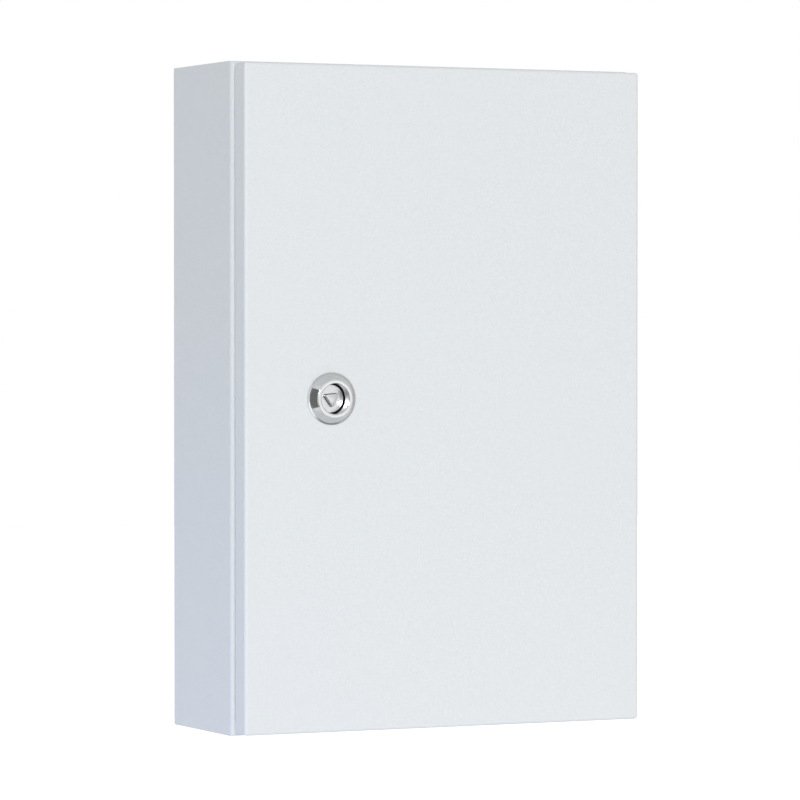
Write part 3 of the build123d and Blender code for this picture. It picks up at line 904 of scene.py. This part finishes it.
def triangle_loop(shape, place, inset, height):
    """Rounded triangle, point down, drawn in from its sides by an inset."""
    reach = KEY_SIDE / math.sqrt(3) - 2 * KEY_ROUND
    loop = []
    for corner in range(3):
        heading = KEY_TILT - math.pi / 2 + math.tau / 3 * corner
        middle = Vector((math.cos(heading), math.sin(heading))) * reach
        for step in range(KEY_STEPS + 1):
            angle = heading + math.pi / 3 * (2 * step / KEY_STEPS - 1)
            spot = middle + (KEY_ROUND - inset) * Vector((math.cos(angle), math.sin(angle)))
            loop.append(shape.verts.new(place @ Vector((spot.x, spot.y, height))))
    return loop


def square_loop(shape, place, half, height):
    """Square loop for the drive."""
    corners = ((half, half), (-half, half), (-half, -half), (half, -half))
    return [shape.verts.new(place @ Vector((x, y, height))) for x, y in corners]


satin = make_satin()
insert = bmesh.new()
corners = [
    (KEY_ROUND, INSERT_FACE),
    (INSERT_RADIUS - INSERT_EDGE, INSERT_FACE),
    (INSERT_RADIUS, INSERT_FACE - INSERT_EDGE),
    (INSERT_RADIUS, INSERT_BACK),
    (SHAFT_RADIUS, INSERT_BACK),
    (SHAFT_RADIUS, GROOVE_FRONT),
    (GROOVE_RADIUS, GROOVE_FRONT),
    (GROOVE_RADIUS, GROOVE_BACK),
    (SHAFT_RADIUS, GROOVE_BACK),
    (SHAFT_RADIUS, barrel_back),
    (KEY_ROUND, barrel_back),
]
rows = [even_row(radius, height, INSERT_SEGMENTS) for radius, height in corners]
turned(insert, lock_place, rows, hollow=False)
foot_loops = [triangle_loop(insert, lock_place, -KEY_FOOT, INSERT_FACE)]
foot_loops.append(triangle_loop(insert, lock_place, 0, INSERT_FACE + KEY_FOOT))
skin_loops(insert, foot_loops)
# The thin band round the triangle's foot takes the second material: a painted dark line of shade at
# the triangle's base.
insert.faces.ensure_lookup_table()
for face in insert.faces[-len(foot_loops[0]):]:
    face.material_index = 1
key_loops = [foot_loops[-1]]
key_loops.append(triangle_loop(insert, lock_place, 0, KEY_TOP - KEY_EDGE))
edge_middle = KEY_EDGE_MIDDLE * KEY_EDGE
key_loops.append(triangle_loop(insert, lock_place, edge_middle, KEY_TOP - edge_middle))
key_loops.append(triangle_loop(insert, lock_place, KEY_EDGE, KEY_TOP))
skin_loops(insert, key_loops)
insert.faces.new(key_loops[-1])
drive_back = depths("lock_insert")[0] - door_front
drive_ends = (barrel_back, drive_back)
drive_loops = [square_loop(insert, lock_place, DRIVE_HALF, height) for height in drive_ends]
skin_loops(insert, drive_loops)
insert.faces.new(drive_loops[-1])
lock_core = add_piece("lock_insert_cast", insert, satin, "lock", "lock_insert")
lock_core.data.materials.append(painted_gap_shade)
o_ring = bmesh.new()
rubber_ring(o_ring, lock_place, GROOVE_RADIUS, SHAFT_RADIUS, GROOVE_BACK, GROOVE_FRONT)
add_piece("insert_o_ring_moulded", o_ring, rubber, "lock", "insert_o_ring")

# Lock cam: a flat steel lever on the insert's square, with a stop washer in front of it.
# A washer and a hexagon screw hold both; all are zinc-plated steel.
CAM_HUB = 9.0 * MM
CAM_TIP_HALF = 6.5 * MM
CAM_TIP_ROUND = 3.0 * MM
CAM_EDGE = 0.3 * MM
CAM_LEAD = 0.8 * MM
CAM_TIP_STEPS = 8
CAM_HUB_STEPS = 32
SCREW_DISH = 0.15 * MM
SCREW_DISH_INNER = 0.5
SCREW_DISH_OUTER = 0.6
SCREW_TURN = 0.25


def cam_loop(shape, place, length, inset, height):
    """Loop round the cam: the round hub, and two rounded corners at the tip below it."""
    corner = Vector((CAM_TIP_HALF - CAM_TIP_ROUND, CAM_TIP_ROUND - length))
    other = Vector((-corner.x, corner.y))
    lean = math.atan2(corner.y, corner.x) + math.acos((CAM_HUB - CAM_TIP_ROUND) / corner.length)
    arcs = (
        (corner, CAM_TIP_ROUND - inset, -math.pi / 2, lean, CAM_TIP_STEPS),
        (Vector((0, 0)), CAM_HUB - inset, lean, math.pi - lean, CAM_HUB_STEPS),
        (other, CAM_TIP_ROUND - inset, math.pi - lean, math.pi * 1.5, CAM_TIP_STEPS),
    )
    loop = []
    for middle, radius, start, stop, steps in arcs:
        for step in range(steps + 1):
            angle = start + (stop - start) * step / steps
            spot = middle + radius * Vector((math.cos(angle), math.sin(angle)))
            loop.append(shape.verts.new(place @ Vector((spot.x, spot.y, height))))
    return loop


paint("lock_stop_washer", zinc_plate)
back, front = depths("lock_cam")
cam_place = outward(lock_x, back, lock_z)
cam_length = lock_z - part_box("lock_cam")[0].z
cam = bmesh.new()
cam_loops = [
    cam_loop(cam, cam_place, cam_length, CAM_EDGE, 0),
    cam_loop(cam, cam_place, cam_length, 0, CAM_EDGE),
    cam_loop(cam, cam_place, cam_length, 0, front - back - CAM_LEAD),
    cam_loop(cam, cam_place, cam_length, CAM_LEAD, front - back),
]
skin_loops(cam, cam_loops)
cam.faces.new(cam_loops[0])
cam.faces.new(cam_loops[-1])
add_fastener("lock_cam_stamped", cam, "lock", "lock_cam")
seat, front = depths("cam_washer")
cam_washer = bmesh.new()
place = outward(lock_x, seat, lock_z)
flat_ring(cam_washer, place, M5_WASHER_RADIUS, M5_WASHER_BORE, front - seat, WASHER_EDGE)
add_fastener("cam_washer_bevelled", cam_washer, "lock", "cam_washer")
back, front = depths("cam_screw")
head_face = NUT_FACE * M5_NUT_FLATS / 2
rows = [
    even_row(SCREW_DISH_INNER * head_face, SCREW_DISH, RING_SEGMENTS),
    even_row(SCREW_DISH_OUTER * head_face, 0, RING_SEGMENTS),
    even_row(head_face, 0, RING_SEGMENTS),
    hexagon_row(M5_NUT_FLATS / 2, lambda past: past * CORNER_SLOPE),
    hexagon_row(M5_NUT_FLATS / 2, lambda past: seat - back),
    even_row(M5_RADIUS, seat - back, RING_SEGMENTS),
    even_row(M5_RADIUS, front - back - TIP_CHAMFER, RING_SEGMENTS),
    even_row(M5_RADIUS - TIP_CHAMFER, front - back, RING_SEGMENTS),
]
screw = bmesh.new()
turned(screw, outward(lock_x, back, lock_z, SCREW_TURN), rows, hollow=False)
add_fastener("cam_screw_chamfered", screw, "lock", "cam_screw")

# Studio: a white floor well below the box, a white surround and soft light from the left front.
# Two small lamps brighten the left side and the door's foot, and mirrors don't show them.
# Four cards, at the left and in front, are only there for the chrome of the lock to mirror.
FLOOR_DROP = 0.5
FLOOR_HALF = 12.0
FLOOR_GREY = (0.8, 0.8, 0.8, 1.0)
FLOOR_ROUGHNESS = 0.9
FLOOR_NEAR = 1.5
FLOOR_FAR = 5.0
FLOOR_GLOW_NEAR = 0.54
FLOOR_GLOW_FAR = 0.78
WHITE = (1.0, 1.0, 1.0)
SKY_BLUE = (0.40, 0.55, 1.0)
LOW_FILL_WHITE = (0.96, 0.91, 0.94)
SURROUND_LIGHT = 0.53
CARD_BLACK = (0.0, 0.0, 0.0, 1.0)
CARD_AWAY = -0.95
CARD_AHEAD = -1.2
LEFT_CARD = ((-0.4, -0.64), (0.3, -0.64), (0.3, 0.68), (-0.4, 0.68))
LEFT_CARD_GLOW = 0.2
NEAR_CARD = ((-0.78, -0.6), (-0.18, -0.6), (-0.18, -0.05), (-0.78, -0.05))
NEAR_CARD_GLOW = 0.15
LOW_CARD = ((0.2, -0.6), (0.62, -0.6), (0.62, -0.25), (0.2, -0.25))
LOW_CARD_GLOW = 0.38
RIGHT_CARD = ((0.62, -0.6), (1.9, -0.6), (1.9, 0.75), (0.1, 0.75), (0.1, 0.15), (0.62, 0.15))
RIGHT_CARD_GLOW = 0.7


def seen_directly(tree):
    """One for rays that the camera, a mirror or a clear body sends, nothing for diffuse light."""
    path = tree.nodes.new("ShaderNodeLightPath")
    total = path.outputs["Is Camera Ray"]
    for label in ("Is Glossy Ray", "Is Transmission Ray"):
        either = tree.nodes.new("ShaderNodeMath")
        either.operation = "MAXIMUM"
        tree.links.new(total, either.inputs[0])
        tree.links.new(path.outputs[label], either.inputs[1])
        total = either.outputs[0]
    return total


def add_sheet(name, corners, made):
    """One flat face of the studio, which is not part of the object."""
    mesh = bpy.data.meshes.new(name)
    mesh.from_pydata(corners, [], [tuple(range(len(corners)))])
    mesh.materials.append(made)
    sheet = bpy.data.objects.new(name, mesh)
    bpy.context.scene.collection.objects.link(sheet)
    return sheet


def make_floor():
    """Pale floor that takes shadows, shows as white from above and is clear from below."""
    made, tree, shader = finish_material("floor_white", metallic=0.0)
    shader.inputs["Base Color"].default_value = FLOOR_GREY
    shader.inputs["Roughness"].default_value = FLOOR_ROUGHNESS
    shader.inputs["Emission Color"].default_value = (*WHITE, 1.0)
    place = tree.nodes.new("ShaderNodeTexCoord")
    away = tree.nodes.new("ShaderNodeVectorMath")
    away.operation = "LENGTH"
    tree.links.new(place.outputs["Object"], away.inputs[0])
    level = tree.nodes.new("ShaderNodeMapRange")
    level.inputs["From Min"].default_value = FLOOR_NEAR
    level.inputs["From Max"].default_value = FLOOR_FAR
    level.inputs["To Min"].default_value = FLOOR_GLOW_NEAR
    level.inputs["To Max"].default_value = FLOOR_GLOW_FAR
    tree.links.new(away.outputs["Value"], level.inputs["Value"])
    glow = tree.nodes.new("ShaderNodeMath")
    glow.operation = "MULTIPLY"
    tree.links.new(seen_directly(tree), glow.inputs[0])
    tree.links.new(level.outputs["Result"], glow.inputs[1])
    tree.links.new(glow.outputs[0], shader.inputs["Emission Strength"])
    side = tree.nodes.new("ShaderNodeNewGeometry")
    clear = tree.nodes.new("ShaderNodeBsdfTransparent")
    both = tree.nodes.new("ShaderNodeMixShader")
    tree.links.new(side.outputs["Backfacing"], both.inputs["Fac"])
    tree.links.new(shader.outputs["BSDF"], both.inputs[1])
    tree.links.new(clear.outputs["BSDF"], both.inputs[2])
    tree.links.new(both.outputs["Shader"], tree.nodes["Material Output"].inputs["Surface"])
    drop = cad_box[0].z - FLOOR_DROP
    spread = ((-1, -1), (1, -1), (1, 1), (-1, 1))
    add_sheet("floor", [(x * FLOOR_HALF, y * FLOOR_HALF, drop) for x, y in spread], made)


def make_surround():
    """White surround: full white where it is seen, much less as light on the object."""
    world = bpy.data.worlds.new("surround")
    bpy.context.scene.world = world
    world.use_nodes = True
    tree = world.node_tree
    light = tree.nodes["Background"]
    light.inputs["Color"].default_value = (*WHITE, 1.0)
    level = tree.nodes.new("ShaderNodeMapRange")
    level.inputs["To Min"].default_value = SURROUND_LIGHT
    level.inputs["To Max"].default_value = 1.0
    tree.links.new(seen_directly(tree), level.inputs["Value"])
    tree.links.new(level.outputs["Result"], light.inputs["Strength"])


def add_card(name, corners, glow):
    """Card of one even brightness, which only mirrors show."""
    made, _, shader = finish_material(name, metallic=0.0)
    shader.inputs["Base Color"].default_value = CARD_BLACK
    shader.inputs["Specular IOR Level"].default_value = 0.0
    shader.inputs["Emission Color"].default_value = (*WHITE, 1.0)
    shader.inputs["Emission Strength"].default_value = glow
    card = add_sheet(name, corners, made)
    card.visible_camera = False
    card.visible_diffuse = False
    card.visible_shadow = False
    card.visible_transmission = False


def add_cards():
    """Dark cards at the left and near the camera, a small one below, a grey one round the right.

    The corners are metres: depth and height for the left card, width and height for the others.
    """
    add_card("left_card", [(CARD_AWAY, y, z) for y, z in LEFT_CARD], LEFT_CARD_GLOW)
    add_card("near_card", [(x, CARD_AHEAD, z) for x, z in NEAR_CARD], NEAR_CARD_GLOW)
    add_card("low_card", [(x, CARD_AHEAD, z) for x, z in LOW_CARD], LOW_CARD_GLOW)
    add_card("right_card", [(x, CARD_AHEAD, z) for x, z in RIGHT_CARD], RIGHT_CARD_GLOW)


def add_lamp(name, heading, rise, distance, size, power, colour):
    """Soft rectangular lamp that faces the box, from degrees right of its front and above it."""
    data = bpy.data.lights.new(name, "AREA")
    data.shape = "RECTANGLE"
    data.size, data.size_y = size
    data.energy = power
    data.color = colour
    lamp = bpy.data.objects.new(name, data)
    turn = math.radians(heading)
    lift = math.radians(rise)
    level = Vector((math.sin(turn), -math.cos(turn), 0))
    away = level * math.cos(lift) + Vector((0, 0, math.sin(lift)))
    lamp.location = away * distance
    lamp.rotation_euler = (-away).to_track_quat("-Z", "Y").to_euler()
    lamp.visible_camera = False
    bpy.context.scene.collection.objects.link(lamp)
    return lamp


make_floor()
make_surround()
add_cards()
add_lamp("key", heading=-20, rise=14, distance=9.0, size=(1.5, 1.5), power=341.0, colour=WHITE)
add_lamp("front_card", heading=27, rise=0, distance=3.2, size=(1.5, 1.6), power=1.9, colour=WHITE)
left_fill = add_lamp(
    "left_fill", heading=-76, rise=-41, distance=0.68, size=(0.3, 0.3), power=0.8, colour=SKY_BLUE
)
low_fill = add_lamp(
    "low_fill", heading=12, rise=-44, distance=0.65, size=(0.4, 0.3), power=0.28, colour=LOW_FILL_WHITE
)
left_fill.visible_glossy = False
low_fill.visible_glossy = False

# Camera: where the photograph was taken from, level with the box and a little to its left.
# A long lens, tipped down by under a degree.
LENS_MM = 196.245
SENSOR_MM = 36.0
CAMERA_PLACE = (-0.8698, -1.8442, 0.0316)
CAMERA_YAW = math.radians(25.64)
CAMERA_PITCH = math.radians(0.95)


def add_camera():
    """The one camera, upright, turned by its yaw and tipped down by its pitch."""
    data = bpy.data.cameras.new("camera")
    data.lens = LENS_MM
    data.sensor_width = SENSOR_MM
    camera = bpy.data.objects.new("camera", data)
    camera.location = CAMERA_PLACE
    camera.rotation_euler = (math.pi / 2 - CAMERA_PITCH, 0, -CAMERA_YAW)
    bpy.context.scene.collection.objects.link(camera)
    bpy.context.scene.camera = camera


add_camera()
bpy.context.scene.view_settings.view_transform = "Standard"
